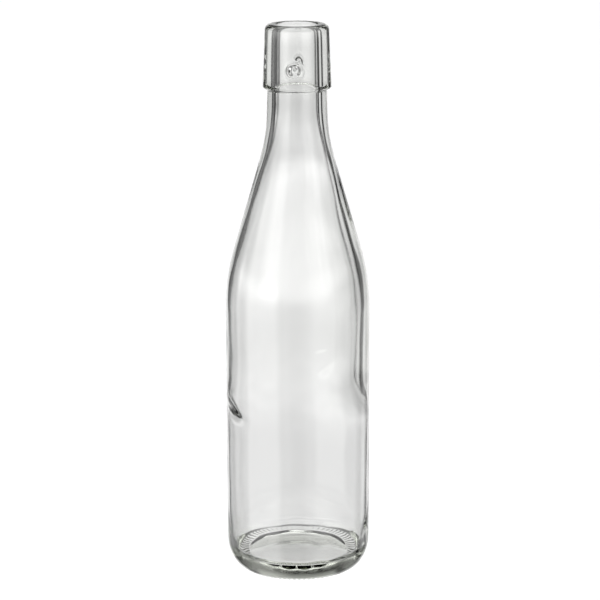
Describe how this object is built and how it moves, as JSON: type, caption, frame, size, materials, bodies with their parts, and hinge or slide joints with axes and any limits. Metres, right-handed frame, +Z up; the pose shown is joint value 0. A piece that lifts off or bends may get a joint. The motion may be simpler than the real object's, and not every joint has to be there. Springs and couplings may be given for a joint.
{
  "type": "swing-top bottle",
  "caption": "Slim clear glass half-litre bottle with a long tapered shoulder and a tall collar with opposite sockets for a swing-top bail; bare, without its closure.",
  "frame": {"origin": "middle of the base, on the surface that the bottle stands on", "axes": "+Z up along the bottle's axis, out of the mouth; the two bail sockets face -Y and +Y"},
  "size_m": [0.0676, 0.0676, 0.2605],
  "materials": {
    "glass": "clear colourless flint container glass, polished by fire, faintly wavy inside"
  },
  "bodies": {
    "root": {"glass_bottle": "glass"}
  },
  "joints": []
}
